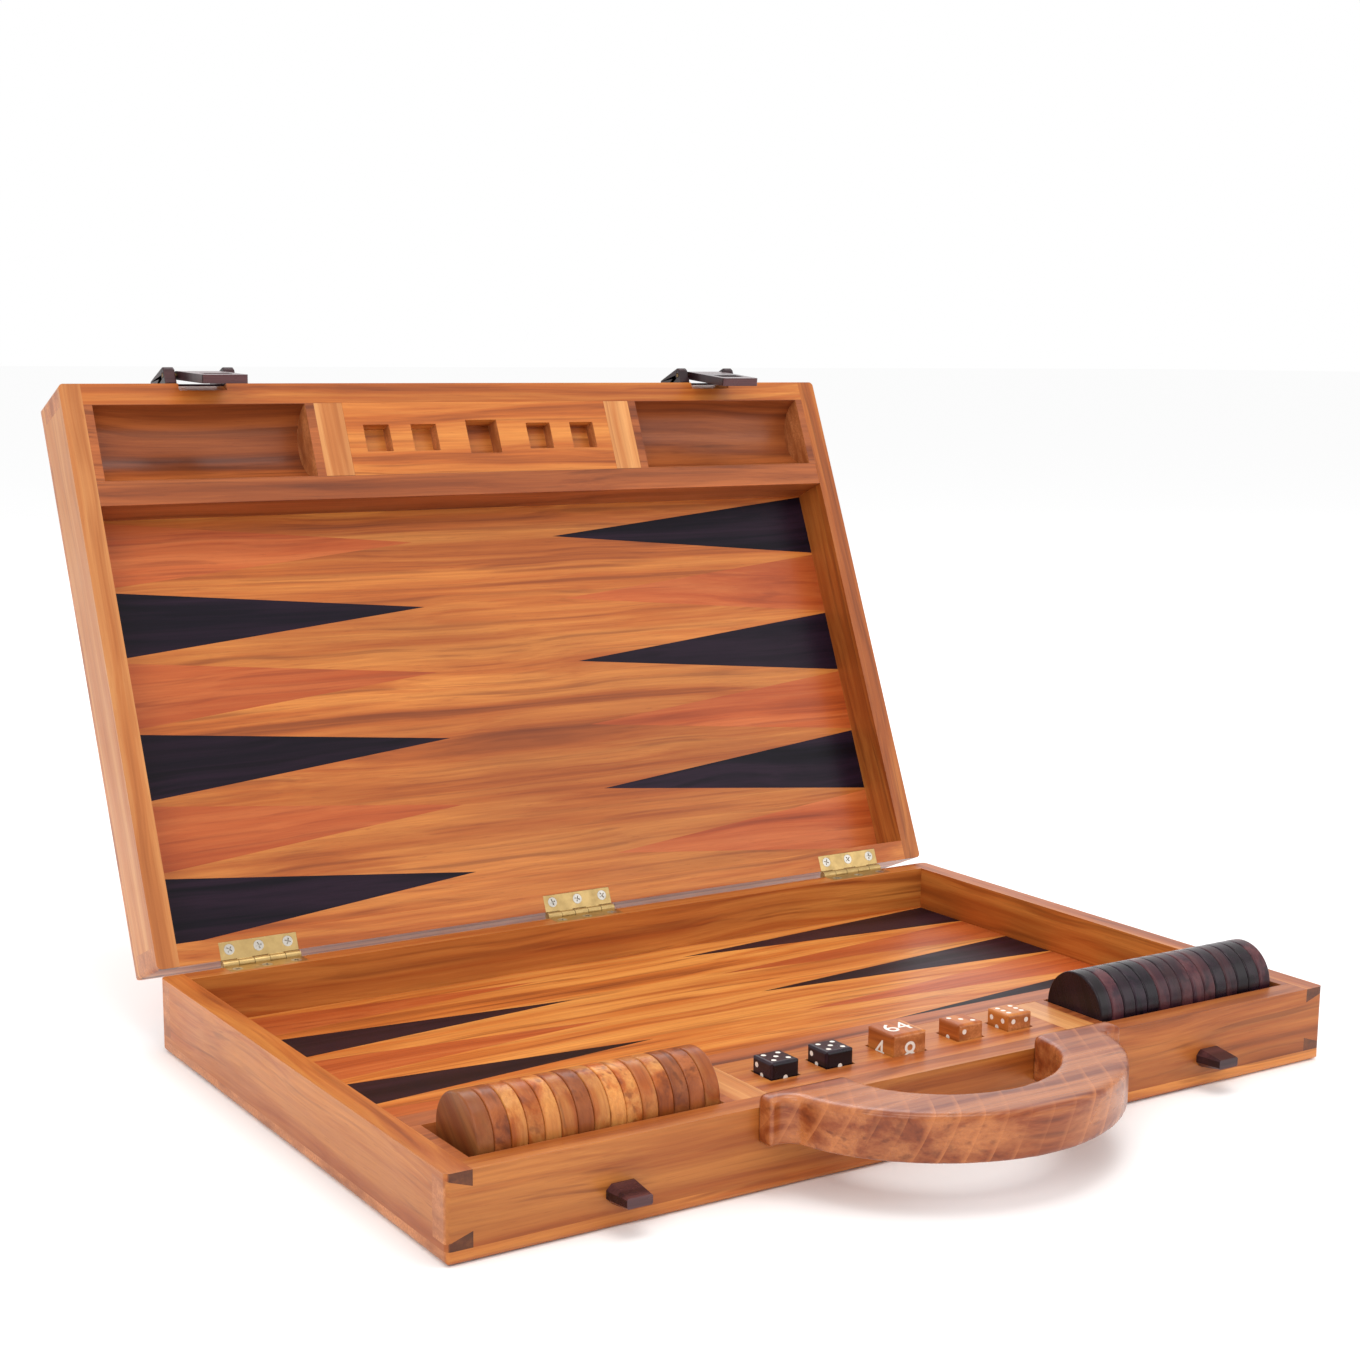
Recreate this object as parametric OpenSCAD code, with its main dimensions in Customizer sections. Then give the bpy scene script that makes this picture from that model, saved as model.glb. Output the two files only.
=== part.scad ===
// Travelling backgammon case: two shallow dovetailed wooden trays, hinged along
// the rear edge, with an inlaid board, storage troughs, dice pockets, a carved
// carrying handle and two wooden hasps that drop over tapered pegs.
// The origin is the middle of the underside. X runs along the hinge, -Y is the
// handle side, +Z is up. The lid is drawn shut and then swung open on its hinge.

/* [Case] */
// Outer width along the hinge
case_w = 460; // [440:5:500]
// Outer depth from handle side to hinge side
case_d = 294; // [288:2:320]
// Height of one half
half_h = 36; // [36:1:40]
// Thickness of the four rails of each half
rail_t = 11; // [10:0.5:13]
// Thickness of the outer panels
panel_t = 6; // [5:0.5:7]
// Radius of the lower outside edges
edge_r = 3.5; // [2:0.5:4.5]
// Radius of the upright corners
corner_r = 2.5; // [1.5:0.5:4]
// Gap between the two rims when shut
rim_gap = 0.4; // [0.3:0.1:0.6]
// Angle of the open lid, 0 is shut and 180 is flat
lid_open = 113; // [0:1:180]

/* [Board] */
// Depth of the playing field below the rim
field_drop = 23; // [20:0.5:25]
// Thickness of the inlaid points
inlay_t = 0.8; // [0.6:0.1:1.5]
// Gap between the points of the left and right side
point_gap = 87; // [70:1:110]
// Part of a sixth of the field that a point's foot fills
point_fill = 0.965; // [0.9:0.005:1]
// Width of the bar between board and storage
divider_t = 12.5; // [8:0.5:16]

/* [Storage] */
// Length of a checker trough
trough_len = 113.2; // [112:0.2:120]
// Radius of the trough's curve
trough_r = 20; // [19.8:0.1:20.4]
// Wood left between a trough and the side rail
trough_side = 4.4; // [4:0.2:6]
// Length of each dice block
dice_block_w = 161; // [150:1:170]
// Checker diameter
checker_d = 35; // [33:0.5:35]
// Checker thickness
checker_t = 7.15; // [6.8:0.05:7.2]
// Checkers in a row
checker_n = 15; // [15:1:15]
// Edge of a die
die_a = 14; // [13:0.5:14]
// Edge of the doubling cube
cube_a = 18; // [17:0.5:18]
// Clearance round a die in its pocket
die_play = 0.5; // [0.4:0.05:0.6]

/* [Hinges] */
// Length of a hinge
hinge_len = 40; // [36:1:44]
// Leaf width on the rim
leaf_w = 8.7; // [8:0.1:9.5]
// Leaf thickness
leaf_t = 1.2; // [1:0.1:1.5]
// Distance of the pin behind the rear face
pin_back = 2.6; // [2.5:0.1:3.5]
// Distance of the outer hinges from the middle
hinge_x = 178.5; // [160:0.5:190]

/* [Handle] */
// Width over both feet
handle_w = 186; // [170:1:200]
// Reach in front of the case
handle_reach = 70; // [60:0.5:75]
// Thickness in height
handle_h = 20.5; // [18:0.5:22]
// How far the handle stands above the rim
handle_up = 5.4; // [3:0.2:7]
// Half width of the finger opening
grip_hole_w = 50; // [44:1:54]
// Depth of the finger opening
grip_hole_d = 44; // [38:1:48]

/* [Hasps] */
// Distance of each hasp from the middle
hasp_x = 155.5; // [130:0.5:175]
// Tongue width
tongue_w = 24; // [20:0.5:25]
// Tongue thickness
tongue_t = 4.4; // [3.6:0.1:4.4]
// Tongue length from its pin
tongue_len = 38; // [35:0.5:38]
// Left tongue's angle from the lid's face when open
left_droop = 25; // [10:0.5:28]
// Right tongue's angle from the lid's face when open
right_droop = 28; // [10:0.5:28]
// Height of the pegs above the underside
peg_z = 14.5; // [14:0.1:15]
// Width of a peg where it leaves the rail
peg_w = 14.6; // [12:0.1:14.6]
// Height of a peg where it leaves the rail
peg_h = 8; // [6.5:0.1:8]
// How far a peg stands out
peg_l = 12.6; // [9:0.1:12.6]

/* [Hidden] */
$fn = 64;
eps = 0.01;
half_w = case_w / 2;
half_d = case_d / 2;
rail_h = half_h - panel_t;
in_w = half_w - rail_t;
in_d = half_d - rail_t;
floor_z = half_h - field_drop;
// dovetail half pins: height at the corner and at the shoulder
pin_lo = 2.8;
pin_hi = 6.4;
// storage strip behind the handle rail
store_d = 40.5;
store_y = -in_d + store_d / 2;
divider_y = -in_d + store_d;
field_y0 = divider_y + divider_t;
field_d = in_d - field_y0;
point_pitch = field_d / 6;
trough_x1 = in_w - trough_side;
trough_x0 = trough_x1 - trough_len;
block_x0 = trough_x0 - 4.9;
dice_block_x = dice_block_w / 2;
base_trough_drop = 17.05;
lid_trough_drop = 18.4;
// pocket middles across the dice block, and their depth
die_xs = [-63, -35.2, 35.2, 63];
die_y = store_y - 0.3;
// hinge axis
axis_y = half_d + pin_back;
axis_z = half_h + rim_gap / 2;
knuckle_r = 2.2;
hinge_pin_r = 1;
screw_y = half_d - 4.8;
screw_step = 15;
// lid, as seen shut
lid_z = half_h + rim_gap;
handle_top = half_h + handle_up;
// hasp pin, from the lid's rim plane and from the front face
hasp_pin_t = 3;
hasp_pin_o = 5.6;
hasp_pin_r = 1.1;
hasp_pin_play = 0.05;
hasp_relief = 3.8;
ear_t = 6.1;
ear_h = 9.6;
plate_t = 2.4;
slot_l = peg_w + 0.9;
slot_w = peg_h + 1;
slot_from_pin = lid_z + hasp_pin_t - peg_z + 0.3;

teak = [0.72, 0.42, 0.2];
teak_light = [0.83, 0.57, 0.36];
teak_red = [0.55, 0.27, 0.16];
orange_wood = [0.78, 0.3, 0.12];
dark_wood = [0.2, 0.13, 0.14];
ebony = [0.09, 0.07, 0.09];
hasp_wood = [0.33, 0.2, 0.22];
brass = [0.83, 0.7, 0.4];
nickel = [0.75, 0.74, 0.72];
white = [0.93, 0.92, 0.88];

// ---- placing ----

// swings what is drawn shut to the lid's open angle
module open_lid() {
    translate([0, axis_y, axis_z])
        rotate([-lid_open, 0, 0])
            translate([0, -axis_y, -axis_z])
                children();
}

// turns a base half upside down into the shut lid
module as_lid() {
    open_lid()
        translate([0, 0, 2 * half_h + rim_gap])
            mirror([0, 0, 1])
                children();
}

// lid pieces that sit at a hasp: local x across, y out from the face, z up from the lid's rim
module at_hasp(side) {
    open_lid()
        translate([side * hasp_x, -half_d, lid_z])
            children();
}

// ---- outlines ----

module rounded_rect(w, d, r) {
    union() {
        square([w - 2 * r, d], center = true);
        square([w, d - 2 * r], center = true);
        for (x = [-1, 1], y = [-1, 1])
            translate([x * (w / 2 - r), y * (d / 2 - r)])
                circle(r = r);
    }
}

// upright section with two round lower corners
module tray_section(w, h, r) {
    union() {
        translate([-w / 2 + r, 0])
            square([w - 2 * r, h]);
        translate([-w / 2, r])
            square([w, h - r]);
        for (x = [-1, 1])
            translate([x * (w / 2 - r), r])
                circle(r = r);
    }
}

// block with every edge rounded
module soft_cube(a, r) {
    intersection() {
        linear_extrude(height = a, center = true)
            rounded_rect(a, a, r);
        rotate([90, 0, 0])
            linear_extrude(height = a, center = true)
                rounded_rect(a, a, r);
        rotate([0, 90, 0])
            linear_extrude(height = a, center = true)
                rounded_rect(a, a, r);
    }
}

// ---- frame ----

module case_prism(h) {
    linear_extrude(height = h)
        rounded_rect(case_w, case_d, corner_r);
}

// front or rear rail seen from the front, with a dovetail at each end
module tail_face() {
    z0 = panel_t;
    z1 = half_h;
    polygon([
        [-in_w, z0], [in_w, z0], [in_w, z0 + pin_hi], [half_w, z0 + pin_lo],
        [half_w, z1 - pin_lo], [in_w, z1 - pin_hi], [in_w, z1], [-in_w, z1],
        [-in_w, z1 - pin_hi], [-half_w, z1 - pin_lo], [-half_w, z0 + pin_lo],
        [-in_w, z0 + pin_hi]
    ]);
}

// side is -1 for the handle side and 1 for the hinge side
module cross_rail_body(side) {
    intersection() {
        translate([0, side > 0 ? half_d : -in_d, 0])
            rotate([90, 0, 0])
                linear_extrude(height = rail_t)
                    tail_face();
        case_prism(half_h);
    }
}

module side_rail_body(side) {
    difference() {
        intersection() {
            translate([side > 0 ? in_w : -half_w, -half_d, panel_t])
                cube([rail_t, case_d, rail_h]);
            case_prism(half_h);
        }
        for (y = [half_d + 1, -in_d])
            translate([0, y, 0])
                rotate([90, 0, 0])
                    linear_extrude(height = rail_t + 1)
                        tail_face();
    }
}

// mortise for each hinge leaf and pilots for its screws
module hinge_cuts() {
    for (x = [-hinge_x, 0, hinge_x]) {
        translate([x - hinge_len / 2, half_d - leaf_w, half_h - leaf_t])
            cube([hinge_len, leaf_w + 1, leaf_t + 1]);
        for (i = [-1, 0, 1])
            translate([x + i * screw_step, screw_y, half_h - 12])
                cylinder(r = 1.3, h = 12);
    }
}

module outer_panel_body() {
    intersection() {
        case_prism(panel_t);
        translate([0, half_d, 0])
            rotate([90, 0, 0])
                linear_extrude(height = case_d)
                    tray_section(case_w, half_h, edge_r);
        translate([-half_w, 0, 0])
            rotate([90, 0, 90])
                linear_extrude(height = case_w)
                    tray_section(case_d, half_h, edge_r);
    }
}

// ---- board ----

// place: 0 is next to the storage, 5 is next to the hinge
module point_outline(side, place) {
    y = field_y0 + (place + 0.5) * point_pitch;
    foot = point_pitch * point_fill / 2;
    polygon([
        [side * in_w, y - foot],
        [side * in_w, y + foot],
        [side * point_gap / 2, y]
    ]);
}

// orange points lie on even places at one side and on odd places at the other
module points_body(first_left) {
    translate([0, 0, floor_z - inlay_t])
        linear_extrude(height = inlay_t) {
            for (i = [0, 2, 4])
                point_outline(-1, i + first_left);
            for (i = [0, 2, 4])
                point_outline(1, i + 1 - first_left);
        }
}

module field_panel_body() {
    difference() {
        translate([-in_w, field_y0, panel_t])
            cube([2 * in_w, field_d, floor_z - panel_t]);
        translate([0, 0, floor_z - inlay_t])
            linear_extrude(height = inlay_t + 1)
                for (side = [-1, 1], i = [0:5])
                    point_outline(side, i);
    }
}

module divider_body() {
    translate([-in_w, divider_y, panel_t])
        cube([2 * in_w, divider_t, rail_h]);
}

// ---- storage ----

module trough_body(side, drop) {
    difference() {
        translate([side > 0 ? block_x0 : -in_w, -in_d, panel_t])
            cube([in_w - block_x0, store_d, rail_h]);
        translate([side > 0 ? trough_x0 : -trough_x1, store_y, half_h - drop + trough_r])
            rotate([0, 90, 0])
                cylinder(r = trough_r, h = trough_len, $fn = 96);
    }
}

module dice_block_body(die_drop, cube_drop) {
    pocket = die_a + 2 * die_play;
    cube_pocket = cube_a + 2 * die_play;
    difference() {
        translate([-dice_block_x, -in_d, panel_t])
            cube([dice_block_w, store_d, rail_h]);
        for (x = die_xs)
            translate([x - pocket / 2, die_y - pocket / 2, half_h - die_drop])
                cube([pocket, pocket, die_drop + 1]);
        translate([-cube_pocket / 2, die_y - cube_pocket / 2, half_h - cube_drop])
            cube([cube_pocket, cube_pocket, cube_drop + 1]);
    }
}

module spacers_body() {
    for (side = [-1, 1])
        translate([side > 0 ? dice_block_x : -block_x0, -in_d, panel_t])
            cube([block_x0 - dice_block_x, store_d, rail_h]);
}

// ---- hinges ----

// knuckles of one leaf: the base has the first, third and fifth of five
module knuckles(x, first) {
    step = hinge_len / 5;
    for (i = [first:2:4])
        translate([x - hinge_len / 2 + i * step + 0.1, axis_y, axis_z])
            rotate([0, 90, 0])
                cylinder(r = knuckle_r, h = step - 0.2);
}

// z0 is the leaf's lower face and other_first the first knuckle of the other leaf
module hinge_leaf(x, z0, first, bore_r) {
    step = hinge_len / 5;
    difference() {
        union() {
            difference() {
                translate([x - hinge_len / 2 + 0.05, half_d - leaf_w + 0.05, z0])
                    cube([hinge_len - 0.1, leaf_w + pin_back - 0.05, leaf_t]);
                for (i = [1 - first:2:4])
                    translate([x - hinge_len / 2 + i * step - 0.1, axis_y, axis_z])
                        rotate([0, 90, 0])
                            cylinder(r = knuckle_r + 0.3, h = step + 0.2);
            }
            knuckles(x, first);
        }
        translate([x - hinge_len, axis_y, axis_z])
            rotate([0, 90, 0])
                cylinder(r = bore_r, h = 2 * hinge_len);
        for (i = [-1, 0, 1])
            translate([x + i * screw_step, screw_y, z0 - 1])
                cylinder(r = 2.6, h = leaf_t + 2);
    }
}

// countersunk screw pointing down, its head's top at z = 0, with a cross recess
module wood_screw(head_r, shank_r, length) {
    difference() {
        union() {
            translate([0, 0, -leaf_t])
                cylinder(r = head_r, h = leaf_t);
            translate([0, 0, -length])
                cylinder(r = shank_r, h = length - leaf_t + eps);
        }
        for (a = [0, 90])
            rotate([0, 0, a])
                translate([-head_r * 0.62, -0.32, -0.8])
                    cube([head_r * 1.24, 0.64, 2]);
    }
}

module hinge_screws_body() {
    for (x = [-hinge_x, 0, hinge_x], i = [-1, 0, 1])
        translate([x + i * screw_step, screw_y, half_h])
            rotate([0, 0, 20 + 37 * i + x / 5])
                wood_screw(2.6, 1.3, 11.5);
}

// ---- handle ----

// plan of the handle, its flat back on y = 0 and the grip towards -y
module handle_plan() {
    foot = handle_w / 2;
    grip = foot - 10.5;
    power = 2 / 1.9;
    difference() {
        union() {
            polygon([
                for (i = [0:48])
                    let (a = 180 + 180 * i / 48, c = cos(a), s = sin(a))
                        [grip * sign(c) * pow(abs(c), power), -handle_reach * pow(abs(s), power)]
            ]);
            for (side = [-1, 1]) {
                translate([side > 0 ? grip_hole_w - 2 : -foot, -7])
                    square([foot - grip_hole_w + 2, 7]);
                translate([side > 0 ? grip_hole_w - 2 : -foot + 2, -9])
                    square([foot - grip_hole_w, 9]);
                translate([side * (foot - 2), -7])
                    circle(r = 2);
            }
        }
        polygon([
            for (i = [0:32])
                let (a = 180 + 180 * i / 32)
                    [grip_hole_w * cos(a), grip_hole_d * sin(a)],
            [grip_hole_w, 1],
            [-grip_hole_w, 1]
        ]);
        for (side = [-1, 1])
            translate([side * (foot - 5.3), -12.4])
                circle(r = 5.8);
    }
}

module handle_body() {
    difference() {
        translate([0, -half_d, handle_top - handle_h])
            linear_extrude(height = handle_h)
                handle_plan();
        // relief that keeps the shut lid's face clear
        translate([-half_w, -half_d - 0.5, half_h - 0.1])
            cube([case_w, 2, handle_up + 1]);
        handle_screw_holes();
    }
}

module at_handle_screws() {
    for (x = [-73, -57.5, 57.5, 73])
        translate([x, -in_d, 28.5])
            rotate([-90, 0, 0])
                children();
}

module handle_screw_holes() {
    at_handle_screws() {
        translate([0, 0, -24])
            cylinder(r = 1.8, h = 24.5);
        translate([0, 0, -3])
            cylinder(r = 3.6, h = 4);
    }
}

module handle_screws_body() {
    at_handle_screws()
        translate([0, 0, -0.2])
            union() {
                translate([0, 0, -23.5])
                    cylinder(r = 1.8, h = 22);
                difference() {
                    translate([0, 0, -2.8])
                        cylinder(r = 3.6, h = 2.7);
                    translate([-2.4, -0.4, -1.1])
                        cube([4.8, 0.8, 2]);
                }
            }
}

// ---- pegs ----

module at_peg(side) {
    translate([side * hasp_x, -half_d, peg_z])
        rotate([90, 0, 0])
            children();
}

// eight-sided outline, its corners cut back by c
module peg_outline(w, h, c) {
    polygon([
        [-w / 2, -h / 2 + c], [-w / 2 + c, -h / 2], [w / 2 - c, -h / 2], [w / 2, -h / 2 + c],
        [w / 2, h / 2 - c], [w / 2 - c, h / 2], [-w / 2 + c, h / 2], [-w / 2, h / 2 - c]
    ]);
}

// tapered head on a round tenon, drawn pointing along z
module peg_body() {
    union() {
        translate([0, 0, -8])
            cylinder(r = 3, h = 8.5);
        hull() {
            linear_extrude(height = 1)
                peg_outline(peg_w, peg_h, 2.4);
            translate([0, 0, peg_l - 0.5])
                linear_extrude(height = 0.5)
                    peg_outline(peg_w - 3.2, peg_h - 3.8, 0.6);
        }
    }
}

// ---- hasps ----

// profile of an ear: x is the height above the lid's rim, y the reach from the face
module ear_profile() {
    polygon([
        [0.4, 0], [27, 0], [27, 4], [21, ear_h], [1.6, ear_h], [0.4, ear_h - 1.8]
    ]);
}

module bracket_body() {
    gap = tongue_w / 2 + 1;
    difference() {
        union() {
            for (x = [-gap - ear_t, gap])
                translate([x, 0, 0])
                    rotate([0, 90, 0])
                        mirror([1, 0, 0])
                            linear_extrude(height = ear_t)
                                mirror([0, 1])
                                    ear_profile();
            translate([-gap - eps, -plate_t, 6])
                cube([2 * gap + 2 * eps, plate_t, 21]);
        }
        translate([-gap - ear_t - 1, -hasp_pin_o, hasp_pin_t])
            rotate([0, 90, 0])
                cylinder(r = hasp_pin_r + hasp_pin_play, h = 2 * (gap + ear_t) + 2);
        at_bracket_screws() {
            translate([0, 0, -leaf_t])
                cylinder(r = 2.6, h = leaf_t + 1);
            translate([0, 0, -plate_t - 1])
                cylinder(r = 1.3, h = plate_t + 2);
        }
    }
}

module at_bracket_screws() {
    for (x = [-6, 6])
        translate([x, -plate_t, 20])
            rotate([90, 0, 0])
                children();
}

module bracket_screw_holes() {
    for (side = [-1, 1])
        translate([side * hasp_x, -half_d, lid_z])
            at_bracket_screws()
                translate([0, 0, -12])
                    cylinder(r = 1.3, h = 12);
}

// bevel on the lid's rim behind each tongue
module tongue_reliefs() {
    for (side = [-1, 1])
        translate([side * hasp_x, -half_d, lid_z])
            rotate([45, 0, 0])
                cube([tongue_w + 1.6, hasp_relief * sqrt(2), hasp_relief * sqrt(2)], center = true);
}

module tongue_body() {
    difference() {
        union() {
            rotate([0, 90, 0])
                cylinder(r = tongue_t / 2, h = tongue_w, center = true);
            intersection() {
                translate([-tongue_w / 2, -tongue_t / 2, -tongue_len])
                    cube([tongue_w, tongue_t, tongue_len]);
                translate([0, tongue_t, 0])
                    rotate([90, 0, 0])
                        linear_extrude(height = 2 * tongue_t)
                            translate([0, -tongue_len / 2 + 5])
                                rounded_rect(tongue_w, tongue_len + 10, 1.6);
            }
        }
        rotate([0, 90, 0])
            cylinder(r = hasp_pin_r + hasp_pin_play, h = tongue_w + 2, center = true);
        translate([-slot_l / 2, -tongue_t, -slot_from_pin - slot_w / 2])
            cube([slot_l, 2 * tongue_t, slot_w]);
    }
}

module latch_pin_body(side) {
    at_hasp(side)
        translate([-tongue_w / 2 - 1 - ear_t, -hasp_pin_o, hasp_pin_t])
            rotate([0, 90, 0])
                cylinder(r = hasp_pin_r, h = tongue_w + 2 + 2 * ear_t);
}

// droop turns the tongue from lying along the front towards the rim
module placed_tongue(side, droop) {
    at_hasp(side)
        translate([0, -hasp_pin_o, hasp_pin_t])
            rotate([droop, 0, 0])
                tongue_body();
}

// ---- pieces ----

// disc along x with softened edges
module checker() {
    r = checker_d / 2;
    rotate([0, 90, 0])
        rotate_extrude($fn = 72)
            union() {
                square([r - 0.9, checker_t]);
                translate([0, 0.9])
                    square([r, checker_t - 1.8]);
                for (z = [0.9, checker_t - 0.9])
                    translate([r - 0.9, z])
                        circle(r = 0.9, $fn = 24);
            }
}

// a row that leans against the inner end of its trough
module checker_row(side) {
    z = half_h - base_trough_drop + checker_d / 2 + 0.05;
    for (i = [0:checker_n - 1])
        translate([side * (trough_x0 + 0.3 + i * (checker_t + 0.05)), store_y, z])
            mirror([side > 0 ? 0 : 1, 0, 0])
                checker();
}

// the two pip axes of a face, and where the pips of each number lie
function pip_spots(n) =
    n == 1 ? [[0, 0]] :
    n == 2 ? [[-1, 1], [1, -1]] :
    n == 3 ? [[-1, 1], [0, 0], [1, -1]] :
    n == 4 ? [[-1, -1], [-1, 1], [1, -1], [1, 1]] :
    n == 5 ? [[-1, -1], [-1, 1], [0, 0], [1, -1], [1, 1]] :
    [[-1, -1], [-1, 0], [-1, 1], [1, -1], [1, 0], [1, 1]];

module on_face(turn, n) {
    rotate(turn)
        for (p = pip_spots(n))
            translate([p[0] * die_a * 0.26, p[1] * die_a * 0.26, die_a / 2])
                children();
}

// top, front and left numbers; opposite faces add up to seven
module pips(top, front, left, height) {
    faces = [
        [[0, 0, 0], top], [[180, 0, 0], 7 - top],
        [[90, 0, 0], front], [[-90, 0, 0], 7 - front],
        [[90, 0, -90], left], [[90, 0, 90], 7 - left]
    ];
    for (f = faces)
        on_face(f[0], f[1])
            translate([0, 0, -0.45])
                cylinder(r = 1.15, h = height, $fn = 24);
}

module at_die(x) {
    translate([x, die_y, half_h - die_a / 2 + 7 + 0.05])
        children();
}

module die_body(top, front, left) {
    difference() {
        soft_cube(die_a, 1.5);
        pips(top, front, left, 1);
    }
}

// ---- nodes ----

module base_front_rail() {
    color(teak)
        difference() {
            cross_rail_body(-1);
            handle_screw_holes();
            for (side = [-1, 1])
                at_peg(side)
                    translate([0, 0, -8])
                        cylinder(r = 3, h = 9);
        }
}

module base_rear_rail() {
    color(teak)
        difference() {
            cross_rail_body(1);
            hinge_cuts();
        }
}

module base_left_rail() {
    color(teak)
        side_rail_body(-1);
}

module base_right_rail() {
    color(teak)
        side_rail_body(1);
}

module base_bottom_panel() {
    color(teak)
        outer_panel_body();
}

module base_field_panel() {
    color(teak)
        field_panel_body();
}

// next to the handle the left points start dark, so orange takes the odd places
module base_orange_points() {
    color(orange_wood)
        points_body(1);
}

module base_dark_points() {
    color(dark_wood)
        points_body(0);
}

module base_divider_bar() {
    color(teak)
        divider_body();
}

module base_left_trough() {
    color(teak)
        trough_body(-1, base_trough_drop);
}

module base_right_trough() {
    color(teak)
        trough_body(1, base_trough_drop);
}

module base_dice_block() {
    color(teak)
        dice_block_body(7, 9);
}

module base_spacers() {
    color(teak_light)
        spacers_body();
}

module base_hinge_leaves() {
    color(brass)
        for (x = [-hinge_x, 0, hinge_x])
            hinge_leaf(x, half_h - leaf_t, 0, hinge_pin_r);
}

module base_hinge_screws() {
    color(nickel)
        hinge_screws_body();
}

module hinge_pins() {
    color(brass)
        for (x = [-hinge_x, 0, hinge_x])
            translate([x - hinge_len / 2, axis_y, axis_z])
                rotate([0, 90, 0])
                    cylinder(r = hinge_pin_r, h = hinge_len);
}

module handle() {
    color(teak_red)
        handle_body();
}

module handle_screws() {
    color(brass)
        handle_screws_body();
}

module latch_pegs() {
    color(hasp_wood)
        for (side = [-1, 1])
            at_peg(side)
                peg_body();
}

module lid_front_rail() {
    color(teak)
        difference() {
            as_lid()
                cross_rail_body(-1);
            open_lid() {
                bracket_screw_holes();
                tongue_reliefs();
            }
        }
}

module lid_rear_rail() {
    color(teak)
        as_lid()
            difference() {
                cross_rail_body(1);
                hinge_cuts();
            }
}

module lid_left_rail() {
    color(teak)
        as_lid()
            side_rail_body(-1);
}

module lid_right_rail() {
    color(teak)
        as_lid()
            side_rail_body(1);
}

module lid_top_panel() {
    color(teak)
        as_lid()
            outer_panel_body();
}

module lid_field_panel() {
    color(teak)
        as_lid()
            field_panel_body();
}

module lid_orange_points() {
    color(orange_wood)
        as_lid()
            points_body(0);
}

module lid_dark_points() {
    color(dark_wood)
        as_lid()
            points_body(1);
}

module lid_divider_bar() {
    color(teak)
        as_lid()
            divider_body();
}

module lid_left_trough() {
    color(teak)
        as_lid()
            trough_body(-1, lid_trough_drop);
}

module lid_right_trough() {
    color(teak)
        as_lid()
            trough_body(1, lid_trough_drop);
}

module lid_dice_block() {
    color(teak)
        as_lid()
            dice_block_body(8, 10);
}

module lid_spacers() {
    color(teak_light)
        as_lid()
            spacers_body();
}

module lid_hinge_leaves() {
    color(brass)
        open_lid()
            for (x = [-hinge_x, 0, hinge_x])
                hinge_leaf(x, lid_z, 1, hinge_pin_r + 0.05);
}

module lid_hinge_screws() {
    color(nickel)
        as_lid()
            hinge_screws_body();
}

module latch_brackets() {
    color(hasp_wood)
        for (side = [-1, 1])
            at_hasp(side)
                bracket_body();
}

module latch_bracket_screws() {
    color(brass)
        for (side = [-1, 1])
            at_hasp(side)
                at_bracket_screws()
                    wood_screw(2.6, 1.3, 11.5);
}

module left_latch_pin() {
    color(brass)
        latch_pin_body(-1);
}

module right_latch_pin() {
    color(brass)
        latch_pin_body(1);
}

module left_latch() {
    color(hasp_wood)
        placed_tongue(-1, left_droop);
}

module right_latch() {
    color(hasp_wood)
        placed_tongue(1, right_droop);
}

module light_checkers() {
    color(teak_light)
        checker_row(-1);
}

module dark_checkers() {
    color(ebony)
        checker_row(1);
}

module black_die_left() {
    color(ebony)
        at_die(die_xs[0])
            die_body(5, 1, 3);
}

module black_die_left_pips() {
    color(white)
        at_die(die_xs[0])
            pips(5, 1, 3, 0.4);
}

module black_die_right() {
    color(ebony)
        at_die(die_xs[1])
            die_body(5, 1, 3);
}

module black_die_right_pips() {
    color(white)
        at_die(die_xs[1])
            pips(5, 1, 3, 0.4);
}

module doubling_cube() {
    color(teak_red)
        translate([0, die_y, half_h - cube_a / 2 + 9 + 0.05])
            soft_cube(cube_a, 1.5);
}

module wood_die_left() {
    color(teak)
        at_die(die_xs[2])
            die_body(3, 2, 1);
}

module wood_die_left_pips() {
    color(white)
        at_die(die_xs[2])
            pips(3, 2, 1, 0.4);
}

module wood_die_right() {
    color(teak)
        at_die(die_xs[3])
            die_body(6, 4, 5);
}

module wood_die_right_pips() {
    color(white)
        at_die(die_xs[3])
            pips(6, 4, 5, 0.4);
}

base_front_rail();
base_rear_rail();
base_left_rail();
base_right_rail();
base_bottom_panel();
base_field_panel();
base_orange_points();
base_dark_points();
base_divider_bar();
base_left_trough();
base_right_trough();
base_dice_block();
base_spacers();
base_hinge_leaves();
base_hinge_screws();
hinge_pins();
handle();
handle_screws();
latch_pegs();
lid_front_rail();
lid_rear_rail();
lid_left_rail();
lid_right_rail();
lid_top_panel();
lid_field_panel();
lid_orange_points();
lid_dark_points();
lid_divider_bar();
lid_left_trough();
lid_right_trough();
lid_dice_block();
lid_spacers();
lid_hinge_leaves();
lid_hinge_screws();
latch_brackets();
latch_bracket_screws();
left_latch_pin();
right_latch_pin();
left_latch();
right_latch();
light_checkers();
dark_checkers();
black_die_left();
black_die_left_pips();
black_die_right();
black_die_right_pips();
doubling_cube();
wood_die_left();
wood_die_left_pips();
wood_die_right();
wood_die_right_pips();
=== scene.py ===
"""Looks for the wooden backgammon case: lacquered teak, inlays, brass hinges and a carved handle."""

import math

import bmesh
import bpy
from mathutils import Matrix, Vector


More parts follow.
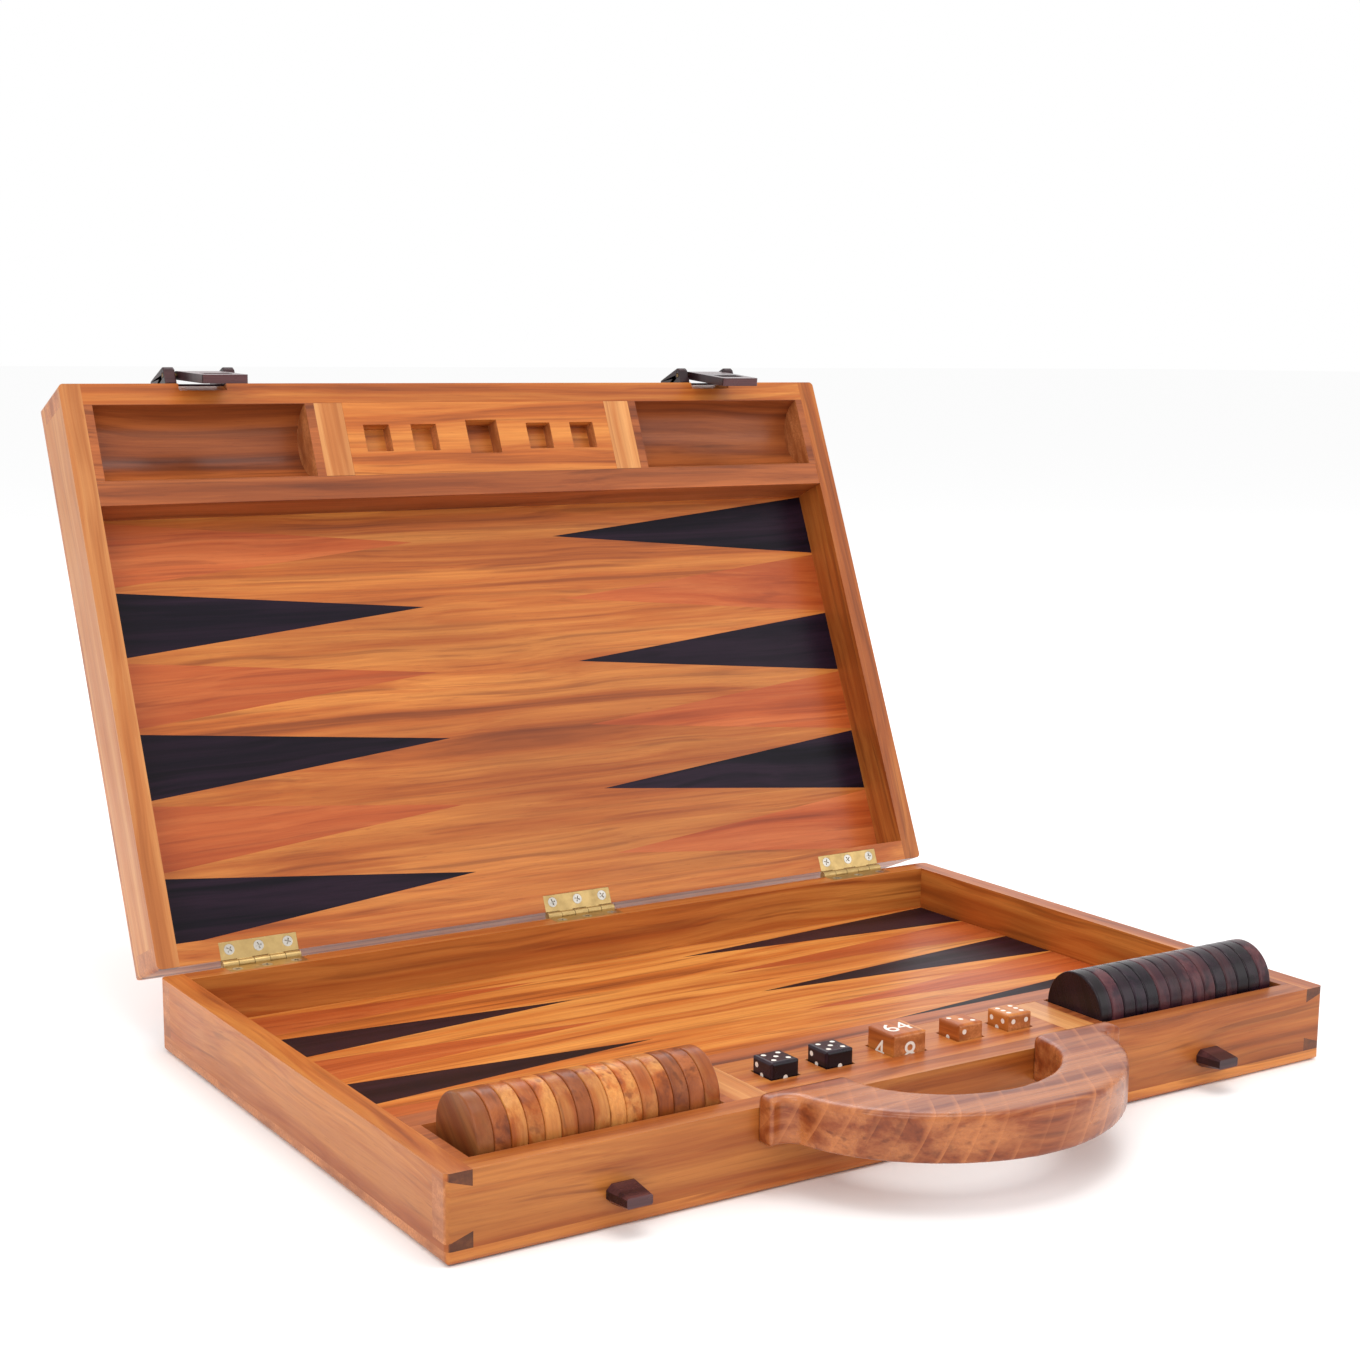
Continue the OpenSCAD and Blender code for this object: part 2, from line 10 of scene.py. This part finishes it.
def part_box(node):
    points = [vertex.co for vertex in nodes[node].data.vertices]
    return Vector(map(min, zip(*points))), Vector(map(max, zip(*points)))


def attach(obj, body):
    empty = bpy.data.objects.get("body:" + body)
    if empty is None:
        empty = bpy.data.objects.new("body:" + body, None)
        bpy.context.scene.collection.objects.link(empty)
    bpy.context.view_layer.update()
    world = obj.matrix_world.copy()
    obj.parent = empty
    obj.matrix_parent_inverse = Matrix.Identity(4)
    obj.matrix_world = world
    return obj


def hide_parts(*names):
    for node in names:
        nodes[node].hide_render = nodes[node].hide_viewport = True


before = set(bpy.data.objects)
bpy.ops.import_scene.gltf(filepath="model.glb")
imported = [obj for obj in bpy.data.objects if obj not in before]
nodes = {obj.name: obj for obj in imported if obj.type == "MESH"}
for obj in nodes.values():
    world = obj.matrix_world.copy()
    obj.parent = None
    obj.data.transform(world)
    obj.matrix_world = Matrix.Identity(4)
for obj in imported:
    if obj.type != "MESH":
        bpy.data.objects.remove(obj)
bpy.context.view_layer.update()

LID_OPEN = 113.0  # degrees, the lid's angle at rest
GRAIN = {"x": 0, "y": 1, "z": 2}
PORE_DEPTH = 0.0004
TROUGH_AXIS = (0, -0.1157, 0.0365)  # a point on the line through the checkers' centres
CHECKERS_IN_ROW = 15

# ---------------------------------------------------------------- node helpers


class Graph:
    """A material's node tree, with short calls for the nodes used here."""

    def __init__(self, name):
        self.material = bpy.data.materials.new(name)
        self.material.use_nodes = True
        self.tree = self.material.node_tree
        self.tree.nodes.clear()

    def add(self, kind, **settings):
        node = self.tree.nodes.new(kind)
        for key, value in settings.items():
            setattr(node, key, value)
        return node

    def link(self, a, b):
        self.tree.links.new(a, b)

    def put(self, socket, value):
        if isinstance(value, bpy.types.NodeSocket):
            self.link(value, socket)
        else:
            socket.default_value = value

    def math(self, operation, a, b=None, c=None, clamp=False):
        node = self.add("ShaderNodeMath", operation=operation, use_clamp=clamp)
        for socket, value in zip(node.inputs, (a, b, c)):
            if value is not None:
                self.put(socket, value)
        return node.outputs[0]

    def vmath(self, operation, a, b=None):
        node = self.add("ShaderNodeVectorMath", operation=operation)
        self.put(node.inputs[0], a)
        if b is not None:
            self.put(node.inputs[1], b)
        return node.outputs[1] if operation in ("DOT_PRODUCT", "LENGTH") else node.outputs[0]

    def turned(self, vector, degrees, location=(0, 0, 0), scale=(1, 1, 1)):
        node = self.add("ShaderNodeMapping")
        self.put(node.inputs["Vector"], vector)
        node.inputs["Rotation"].default_value = [math.radians(d) for d in degrees]
        node.inputs["Location"].default_value = location
        node.inputs["Scale"].default_value = scale
        return node.outputs[0]

    def stretched(self, vector, shift, scale):
        """vector moved by shift after being scaled along each axis."""
        return self.turned(vector, (0, 0, 0), shift, scale)

    def noise(self, vector, scale=1.0, detail=3.0, rough=0.5, distortion=0.0):
        node = self.add("ShaderNodeTexNoise")
        self.put(node.inputs["Vector"], vector)
        node.inputs["Scale"].default_value = scale
        node.inputs["Detail"].default_value = detail
        node.inputs["Roughness"].default_value = rough
        node.inputs["Distortion"].default_value = distortion
        return node.outputs["Fac"]

    def ramp(self, factor, stops):
        node = self.add("ShaderNodeValToRGB")
        elements = node.color_ramp.elements
        while len(elements) < len(stops):
            elements.new(0.5)
        for element, (place, colour) in zip(elements, stops):
            element.position = place
            element.color = (*colour, 1.0) if len(colour) == 3 else colour
        self.put(node.inputs[0], factor)
        return node.outputs[0]

    def grey(self, factor, low, high, a=0.0, b=1.0):
        """factor from low to high becomes a to b."""
        node = self.add("ShaderNodeMapRange", clamp=True)
        for socket, value in zip(node.inputs, (factor, low, high, a, b)):
            self.put(socket, value)
        return node.outputs[0]

    def mix(self, factor, a, b, blend="MIX"):
        node = self.add("ShaderNodeMix", data_type="RGBA", blend_type=blend)
        self.put(node.inputs[0], factor)
        for socket, value in ((node.inputs[6], a), (node.inputs[7], b)):
            self.put(socket, value if isinstance(value, bpy.types.NodeSocket) else (*value, 1.0))
        return node.outputs[2]

    def bump(self, height, strength, distance, normal=None):
        node = self.add("ShaderNodeBump")
        node.inputs["Strength"].default_value = strength
        node.inputs["Distance"].default_value = distance
        self.put(node.inputs["Height"], height)
        if normal is not None:
            self.link(normal, node.inputs["Normal"])
        return node.outputs[0]

    def shader(self, colour, rough, normal, **constants):
        node = self.add("ShaderNodeBsdfPrincipled")
        plain = not isinstance(colour, bpy.types.NodeSocket)
        self.put(node.inputs["Base Color"], (*colour, 1.0) if plain else colour)
        self.put(node.inputs["Roughness"], rough)
        if normal is not None:
            self.link(normal, node.inputs["Normal"])
        for key, value in constants.items():
            node.inputs[key.replace("_", " ")].default_value = value
        out = self.add("ShaderNodeOutputMaterial")
        self.link(node.outputs[0], out.inputs[0])
        return self.material


def srgb(r, g, b):
    """An 8-bit colour as linear light."""
    return tuple((c / 255 / 12.92) if c <= 10 else ((c / 255 + 0.055) / 1.055) ** 2.4 for c in (r, g, b))


# ------------------------------------------------------------------- materials

# dark, middle and light tone of each wood
WOODS = {
    "teak": (srgb(112, 50, 16), srgb(184, 98, 38), srgb(216, 138, 64)),
    # darker teak: painted shade for the base's front rail and the lid's right rail, faces turned from the
    # lamps
    "teak_painted_shade": (srgb(98, 44, 14), srgb(166, 88, 34), srgb(196, 122, 56)),
    # brighter teak: painted light for the base's field panel, which lies in the shade of the tray
    "teak_painted_light": (srgb(122, 56, 18), srgb(202, 112, 44), srgb(232, 156, 76)),
    "teak_deep": (srgb(84, 38, 18), srgb(146, 74, 34), srgb(180, 100, 50)),
    # pale teak: the spacer strips' own colour, and painted light on the lid's left rail, the side the lamps
    # light
    "teak_pale_and_painted_light": (srgb(148, 80, 34), srgb(200, 126, 66), srgb(226, 164, 100)),
    "checker": (srgb(96, 38, 12), srgb(192, 100, 38), srgb(226, 154, 82)),
    "orange": (srgb(132, 54, 20), srgb(184, 86, 36), srgb(204, 112, 56)),
    "purple": (srgb(7, 4, 11), srgb(19, 12, 25), srgb(40, 24, 40)),
    "ebony": (srgb(6, 3, 8), srgb(20, 11, 22), srgb(46, 26, 40)),
    "plum": (srgb(22, 8, 18), srgb(56, 23, 38), srgb(104, 56, 60)),
    "handle": (srgb(88, 34, 12), srgb(148, 72, 32), srgb(196, 120, 68)),
    "hasp": (srgb(26, 11, 15), srgb(54, 27, 32), srgb(90, 52, 54)),
    "pale_end": (srgb(150, 84, 42), srgb(206, 134, 82), srgb(226, 160, 108)),
    "end": (srgb(58, 26, 14), srgb(104, 54, 28), srgb(150, 88, 50)),
}


def local_coords(g, lid):
    """Object coordinates and normal; the lid's are turned by its open angle, so that its grain runs true."""
    source = g.add("ShaderNodeTexCoord")
    place, normal = source.outputs["Object"], source.outputs["Normal"]
    if lid:
        place = g.turned(place, (LID_OPEN, 0, 0))
        normal = g.turned(normal, (LID_OPEN, 0, 0))
    return place, normal


def along(grain, length, width):
    """Noise scale that is slow along the grain and quick across it."""
    scale = [width, width, width]
    scale[GRAIN[grain]] = length
    return tuple(scale)


def wood_layers(g, place, grain, seed, tones, figure=1.0):
    """Colour and height of sawn wood: broad figure, growth lines, pores."""
    dark, middle, light = tones
    shift = (seed * 1.37, seed * 0.71, seed * 2.13)
    broad = g.noise(g.stretched(place, shift, along(grain, 1.7, 12)), 1, 4, 0.55, 0.7)
    sway = g.noise(g.stretched(place, shift, along(grain, 4.0, 14)), 1, 2, 0.5)
    centred = g.vmath("SUBTRACT", g.ramp(sway, [(0, (0, 0, 0)), (1, (1, 1, 1))]), (0.5, 0.5, 0.5))
    bend = g.vmath("SCALE", centred)
    bend.node.inputs["Scale"].default_value = 0.03 * figure
    swayed = g.vmath("ADD", place, bend)
    lines = g.noise(g.stretched(swayed, shift, along(grain, 1.9, 82)), 1, 5, 0.62, 0.35)
    streak = g.noise(g.stretched(swayed, shift, along(grain, 1.5, 300)), 1, 2, 0.5)
    fine = g.noise(g.stretched(place, shift, along(grain, 26, 900)), 1, 3, 0.6)
    pores = g.noise(g.stretched(place, shift, along(grain, 110, 2400)), 1, 2, 0.5)
    tone = g.ramp(lines, [(0.26, dark), (0.43, middle), (0.6, light), (0.8, middle)])
    tone = g.mix(g.grey(broad, 0.42, 0.66, 0.0, 0.72), tone, g.mix(0.6, tone, dark))
    tone = g.mix(g.grey(streak, 0.56, 0.7, 0.0, 0.5), tone, dark)
    tone = g.mix(g.grey(fine, 0.3, 0.72, 0.0, 0.24), tone, dark)
    pore = g.grey(pores, 0.62, 0.74)
    tone = g.mix(g.math("MULTIPLY", pore, 0.3), tone, dark)
    height = g.math("SUBTRACT", g.math("MULTIPLY", fine, 0.5), g.math("MULTIPLY", pore, 0.6))
    return tone, height, lines


def wood(name, tones, grain, lid, seed, rough=0.36, coat=0.08, end="end", shine=0.3):
    """Lacquered wood; faces across the grain show speckled end grain in the tones named by end."""
    g = Graph(name)
    place, normal = local_coords(g, lid)
    tone, height, lines = wood_layers(g, place, grain, seed, WOODS[tones])
    axis = [0.0, 0.0, 0.0]
    axis[GRAIN[grain]] = 1.0
    facing = g.math("ABSOLUTE", g.vmath("DOT_PRODUCT", normal, tuple(axis)))
    across = g.grey(facing, 0.75, 0.92, 0.0, 0.9)
    speck = g.noise(place, 900, 3, 0.6)
    rings = g.noise(g.stretched(place, (seed, 0, 0), (60, 60, 190)), 1, 3, 0.5)
    end_tone = g.mix(g.grey(rings, 0.35, 0.65), WOODS[end][0], WOODS[end][1])
    end_tone = g.mix(g.grey(speck, 0.4, 0.65, 0.0, 0.6), end_tone, WOODS[end][0])
    tone = g.mix(across, tone, end_tone)
    gloss = g.grey(lines, 0.3, 0.7, rough + 0.05, rough - 0.04)
    worn = g.noise(place, 22, 4, 0.6)
    gloss = g.math("ADD", gloss, g.grey(worn, 0.35, 0.7, -0.03, 0.06))
    lacquer = {"Coat_Weight": coat, "Coat_Roughness": 0.2, "Specular_IOR_Level": shine}
    return g.shader(tone, gloss, g.bump(height, 0.10, PORE_DEPTH), **lacquer)


def checker_wood(name, palettes, pitch, start, seed, reddish, rough):
    """Each checker of a row has its own tone and its own grain direction."""
    g = Graph(name)
    place, _ = local_coords(g, False)
    split = g.add("ShaderNodeSeparateXYZ")
    g.link(place, split.inputs[0])
    number = g.math("FLOOR", g.math("DIVIDE", g.math("SUBTRACT", split.outputs[0], start), pitch))
    random = g.add("ShaderNodeTexWhiteNoise", noise_dimensions="1D")
    g.link(g.math("ADD", number, seed), random.inputs["W"])
    turn = g.add("ShaderNodeVectorRotate", rotation_type="X_AXIS")
    g.link(place, turn.inputs["Vector"])
    turn.inputs["Center"].default_value = TROUGH_AXIS
    g.link(g.math("MULTIPLY", random.outputs["Value"], 3.1), turn.inputs["Angle"])
    moved = g.vmath("ADD", turn.outputs[0], random.outputs["Color"])
    first, height, lines = wood_layers(g, moved, "y", seed, WOODS[palettes[0]], 1.6)
    second, _, _ = wood_layers(g, moved, "y", seed + 3, WOODS[palettes[1]], 1.6)
    split_colour = g.add("ShaderNodeSeparateColor")
    g.link(random.outputs["Color"], split_colour.inputs[0])
    tone = g.mix(g.grey(split_colour.outputs[1], reddish - 0.12, reddish + 0.12), first, second)
    tone = g.mix(g.grey(split_colour.outputs[2], 0, 1, 0.0, 0.3), tone, (0.02, 0.01, 0.008))
    gloss = g.grey(lines, 0.3, 0.7, rough + 0.05, rough - 0.03)
    lacquer = {"Coat_Weight": 0.08, "Coat_Roughness": 0.2, "Specular_IOR_Level": 0.22}
    return g.shader(tone, gloss, g.bump(height, 0.12, PORE_DEPTH), **lacquer)


def metal(name, colour, rough, scratch):
    """Plated or polished metal with rubbed streaks and faint dulling."""
    g = Graph(name)
    place, _ = local_coords(g, False)
    streak = g.noise(g.stretched(place, (0, 0, 0), (90, 1600, 1600)), 1, 3, 0.6)
    dull = g.noise(place, 180, 4, 0.6)
    tone = g.mix(g.grey(dull, 0.4, 0.7, 0.0, 0.35), colour, tuple(c * 0.6 for c in colour))
    gloss = g.grey(dull, 0.35, 0.7, rough, rough + 0.16)
    return g.shader(tone, gloss, g.bump(streak, scratch, 0.0001), Metallic=1.0)


def paint(name, colour, rough):
    """Paint let into wood, a little uneven."""
    g = Graph(name)
    place, _ = local_coords(g, False)
    spots = g.noise(place, 700, 3, 0.6)
    tone = g.mix(g.grey(spots, 0.4, 0.7, 0.0, 0.3), colour, tuple(c * 0.72 for c in colour))
    return g.shader(tone, g.grey(spots, 0.3, 0.7, rough, rough + 0.15), g.bump(spots, 0.1, 0.0002))


BRASS = metal("brass", srgb(192, 162, 108), 0.32, 0.12)
NICKEL = metal("nickel", srgb(196, 190, 180), 0.28, 0.1)
PIN_METAL = metal("pin_metal", srgb(120, 96, 60), 0.4, 0.1)


def dress(node, material):
    """Puts one material on a CAD node."""
    mesh = nodes[node].data
    mesh.materials.clear()
    mesh.materials.append(material)


def soften(node, width, segments=2, angle=35):
    """Rounds a CAD node's edges with modifiers, its mesh stays as packed."""
    obj = nodes[node]
    weld = obj.modifiers.new("weld", "WELD")
    weld.merge_threshold = 0.000002
    bevel = obj.modifiers.new("edges", "BEVEL")
    bevel.width = width
    bevel.segments = segments
    bevel.limit_method = "ANGLE"
    bevel.angle_limit = math.radians(angle)
    bevel.harden_normals = False
    smooth = obj.modifiers.new("normals", "WEIGHTED_NORMAL")
    smooth.keep_sharp = True


# ------------------------------------------------------------------ the joinery


def finish_half(prefix, lid):
    """Woods of one half: every board is cut from its own piece."""
    boards = {
        # the base's front rail gets teak darkened as painted shade
        "front_rail": ("teak" if lid else "teak_painted_shade", "x", 1.0),
        "rear_rail": ("teak", "x", 2.3),
        # the lid's left rail gets pale teak as painted light
        "left_rail": ("teak_pale_and_painted_light" if lid else "teak", "y", 3.1),
        # the lid's right rail gets teak darkened as painted shade
        "right_rail": ("teak_painted_shade" if lid else "teak", "y", 4.7),
        ("top_panel" if lid else "bottom_panel"): ("teak", "x", 5.2),
        # the base's field panel gets teak brightened as painted light
        "field_panel": ("teak" if lid else "teak_painted_light", "x", 6.4),
        "divider_bar": ("teak_deep", "x", 7.9),
        "left_trough": ("teak_deep", "x", 8.8),
        "right_trough": ("teak_deep", "x", 9.6),
        "dice_block": ("teak", "x", 10.5),
        # the spacers' pale teak is the strips' own colour
        "spacers": ("teak_pale_and_painted_light", "y", 11.9),
        "orange_points": ("orange", "x", 12.7),
        "dark_points": ("purple", "x", 13.3),
    }
    for part, (tones, grain, seed) in boards.items():
        node = f"{prefix}_{part}"
        inlay = tones == "purple"
        end = "pale_end" if grain == "x" else "end"
        dress(node, wood(node, tones, grain, lid, seed + (20 if lid else 0), end=end,
                         coat=0.02 if inlay else 0.08, shine=0.14 if inlay else 0.3))
        if "points" not in part and "field" not in part:
            soften(node, 0.00025)
    dress(f"{prefix}_hinge_leaves", BRASS)
    dress(f"{prefix}_hinge_screws", NICKEL)
    soften(f"{prefix}_hinge_leaves", 0.00015)
    soften(f"{prefix}_hinge_screws", 0.00012)


def finish_small_parts():
    for node in ("hinge_pins", "handle_screws", "latch_bracket_screws"):
        dress(node, BRASS)
    for node in ("left_latch_pin", "right_latch_pin"):
        dress(node, PIN_METAL)
    for i, node in enumerate(("latch_brackets", "left_latch", "right_latch")):
        dress(node, wood(node, "hasp", "x", True, 31 + i, rough=0.3, coat=0.2, end="hasp"))
        soften(node, 0.0007, 3)
    dress("latch_pegs", wood("latch_pegs", "hasp", "x", False, 36, rough=0.28, coat=0.2, end="hasp"))
    soften("latch_pegs", 0.0006, 3)


# ------------------------------------------------------------- checkers and dice


def finish_pieces():
    light_low, light_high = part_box("light_checkers")
    dark_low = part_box("dark_checkers")[0]
    pitch = (light_high.x - light_low.x) / CHECKERS_IN_ROW
    light = checker_wood("light_checkers", ("checker", "teak_deep"), pitch, light_low.x, 3.0, 0.6, 0.34)
    dark = checker_wood("dark_checkers", ("ebony", "plum"), pitch, dark_low.x, 8.0, 0.5, 0.26)
    dress("light_checkers", light)
    dress("dark_checkers", dark)
    for node in ("light_checkers", "dark_checkers"):
        soften(node, 0.0005)
    for i, node in enumerate(("black_die_left", "black_die_right")):
        dress(node, wood(node, "ebony", "y", False, 41 + i, rough=0.3, end="ebony"))
    for i, node in enumerate(("wood_die_left", "wood_die_right")):
        dress(node, wood(node, "teak", "y", False, 44 + i, rough=0.36, end="pale_end"))
    dress("doubling_cube", wood("doubling_cube", "teak", "y", False, 47, rough=0.36, end="pale_end"))
    white = paint("white_paint", srgb(238, 232, 222), 0.45)
    for node in ("black_die_left_pips", "black_die_right_pips", "wood_die_left_pips", "wood_die_right_pips"):
        dress(node, white)
    number_cube(white)


NUMERAL_SIZE = 0.0135
NUMERAL_DEPTH = 0.00006


def number_cube(white):
    """Numerals on the six faces of the doubling cube."""
    low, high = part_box("doubling_cube")
    centre, half = (low + high) / 2, (high.x - low.x) / 2
    turns = {
        "64": Matrix.Identity(3),
        "2": Matrix.Rotation(math.pi, 3, "X"),
        "8": Matrix.Rotation(math.pi / 2, 3, "X"),
        "16": Matrix.Rotation(math.pi, 3, "Z") @ Matrix.Rotation(math.pi / 2, 3, "X"),
        "4": Matrix.Rotation(-math.pi / 2, 3, "Z") @ Matrix.Rotation(math.pi / 2, 3, "X"),
        "32": Matrix.Rotation(math.pi / 2, 3, "Z") @ Matrix.Rotation(math.pi / 2, 3, "X"),
    }
    for text, turn in turns.items():
        curve = bpy.data.curves.new(f"numeral_{text}", "FONT")
        curve.body = text
        curve.size = NUMERAL_SIZE
        curve.align_x = "CENTER"
        curve.align_y = "CENTER"
        curve.extrude = NUMERAL_DEPTH
        temp = bpy.data.objects.new(f"temp_{text}", curve)
        bpy.context.scene.collection.objects.link(temp)
        bpy.context.view_layer.update()
        mesh = bpy.data.meshes.new_from_object(temp)
        bpy.data.objects.remove(temp)
        place = Matrix.Translation(centre) @ turn.to_4x4() @ Matrix.Translation((0, 0, half))
        mesh.transform(place)
        mesh.materials.clear()
        mesh.materials.append(white)
        numeral = bpy.data.objects.new(f"numeral_{text}", mesh)
        bpy.context.scene.collection.objects.link(numeral)
        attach(numeral, "doubling_cube")


# ------------------------------------------------------------------- the handle


BACK_BAND = 0.0008  # the blank's back face and the mouths of its screw holes
BACK_REACH = 0.006  # how far the back is carried into the rail while the edges are rubbed
BACK_GAP = 0.0003
VOXEL = 0.0012
RUBS = 22


def make_handle():
    """Carved grip: the sawn blank with its edges rubbed round, its back cut flat again."""
    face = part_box("handle")[1].y
    mesh = nodes["handle"].data.copy()
    for v in mesh.vertices:
        if v.co.y > face - BACK_BAND:
            v.co.y += BACK_REACH
    rough = bpy.data.objects.new("carved", mesh)
    bpy.context.scene.collection.objects.link(rough)
    remesh = rough.modifiers.new("voxels", "REMESH")
    remesh.mode = "VOXEL"
    remesh.voxel_size = VOXEL
    smooth = rough.modifiers.new("rubbed", "SMOOTH")
    smooth.factor = 0.5
    smooth.iterations = RUBS
    bpy.context.view_layer.update()
    graph = bpy.context.evaluated_depsgraph_get()
    shape = bpy.data.meshes.new_from_object(rough.evaluated_get(graph))
    bpy.data.objects.remove(rough)
    b = bmesh.new()
    b.from_mesh(shape)
    back = (0, face - BACK_GAP, 0)
    whole = b.verts[:] + b.edges[:] + b.faces[:]
    bmesh.ops.bisect_plane(b, geom=whole, plane_co=back, plane_no=(0, 1, 0), clear_outer=True)
    bmesh.ops.triangle_fill(b, edges=[e for e in b.edges if e.is_boundary], use_beauty=True)
    bmesh.ops.recalc_face_normals(b, faces=b.faces[:])
    b.to_mesh(shape)
    b.free()
    for polygon in shape.polygons:
        polygon.use_smooth = True
    grip = bpy.data.objects.new("handle_grip", shape)
    bpy.context.scene.collection.objects.link(grip)
    shape.materials.clear()
    shape.materials.append(carved_wood())
    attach(grip, "base")
    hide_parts("handle")


def carved_wood():
    """Wood cut across its rings, so that the growth lines sweep over the rounded grip."""
    g = Graph("carved_wood")
    place, _ = local_coords(g, False)
    tone, height, lines = wood_layers(g, place, "x", 51, WOODS["handle"], 1.3)
    wave = g.add("ShaderNodeTexWave", wave_type="RINGS", rings_direction="Y", wave_profile="SAW")
    g.put(wave.inputs["Vector"], g.turned(place, (14, 0, 20), (0.13, 0.1, -0.06), (0.75, 1, 1)))
    wave.inputs["Scale"].default_value = 42
    wave.inputs["Distortion"].default_value = 1.1
    wave.inputs["Detail"].default_value = 2.0
    wave.inputs["Detail Scale"].default_value = 0.4
    ring = g.grey(wave.outputs["Fac"], 0.78, 1.0)
    patch = g.grey(g.noise(place, 26, 2, 0.5), 0.35, 0.62, 0.1, 0.6)
    tone = g.mix(g.math("MULTIPLY", ring, patch), tone, WOODS["handle"][2])
    gloss = g.grey(lines, 0.3, 0.7, 0.34, 0.24)
    lacquer = {"Coat_Weight": 0.15, "Coat_Roughness": 0.18, "Specular_IOR_Level": 0.35}
    return g.shader(tone, gloss, g.bump(height, 0.1, PORE_DEPTH), **lacquer)


# ------------------------------------------------------------- camera and light


FLOOR_REACH = 40.0


def make_stage():
    """Pale floor that runs far out under a bright surround."""
    mesh = bpy.data.meshes.new("floor")
    corners = [(FLOOR_REACH * x, FLOOR_REACH * y, 0) for x, y in ((-1, -1), (1, -1), (1, 1), (-1, 1))]
    mesh.from_pydata(corners, [], [(0, 1, 2, 3)])
    floor = bpy.data.objects.new("floor", mesh)
    bpy.context.scene.collection.objects.link(floor)
    g = Graph("pale_floor")
    mesh.materials.append(g.shader((0.97, 0.97, 0.97), 0.9, None, Specular_IOR_Level=0.0))
    world = bpy.data.worlds.new("studio")
    bpy.context.scene.world = world
    world.use_nodes = True
    background = world.node_tree.nodes["Background"]
    background.inputs[0].default_value = (1.0, 1.0, 1.0, 1.0)
    background.inputs[1].default_value = 1.0


def soft_light(name, place, target, size, power, colour=(1, 1, 1)):
    lamp = bpy.data.lights.new(name, "AREA")
    lamp.shape = "RECTANGLE"
    lamp.size, lamp.size_y = size
    lamp.energy = power
    lamp.color = colour
    obj = bpy.data.objects.new(name, lamp)
    obj.location = place
    obj.rotation_euler = (Vector(target) - Vector(place)).to_track_quat("-Z", "Y").to_euler()
    bpy.context.scene.collection.objects.link(obj)


def make_lights():
    middle = (0, 0.1, 0.1)
    soft_light("key", (-1.6, -1.3, 1.5), middle, (1.0, 1.0), 13, (1.0, 0.97, 0.94))
    soft_light("fill", (1.7, -1.6, 1.0), middle, (1.6, 1.2), 6, (0.97, 0.98, 1.0))
    soft_light("sheen", (0.6, 1.9, 1.7), middle, (2.0, 1.0), 16, (0.97, 0.95, 1.0))
    soft_light("top", (0.1, -0.3, 2.0), (0.1, 0, 0), (1.2, 0.9), 12, (1.0, 0.98, 0.96))


CAMERA_PLACE = (-0.5652, -0.8134, 0.3263)
CAMERA_TURNS = (32.47, -10.49, 0.39)  # azimuth, elevation and roll in degrees


def make_camera():
    """Camera at a low three-quarter angle, from a perspective fit of the case's corners."""
    azimuth, elevation, roll = (math.radians(a) for a in CAMERA_TURNS)
    level = math.cos(elevation)
    forward = Vector((level * math.sin(azimuth), level * math.cos(azimuth), math.sin(elevation)))
    back = -forward
    right = Vector((0, 0, 1)).cross(back).normalized()
    up = back.cross(right)
    c, s = math.cos(roll), math.sin(roll)
    right, up = c * right + s * up, c * up - s * right
    camera = bpy.data.cameras.new("camera")
    camera.lens = 57.83
    camera.sensor_width = 36
    camera.shift_x = 0.0165
    camera.shift_y = 0.0565
    camera.clip_end = 200
    obj = bpy.data.objects.new("camera", camera)
    turn = Matrix((right, up, back)).transposed().to_4x4()
    obj.matrix_world = Matrix.Translation(CAMERA_PLACE) @ turn
    bpy.context.scene.collection.objects.link(obj)
    bpy.context.scene.camera = obj


finish_half("base", False)
finish_half("lid", True)
finish_small_parts()
finish_pieces()
make_handle()
make_stage()
make_lights()
make_camera()
bpy.context.scene.view_settings.view_transform = "Standard"
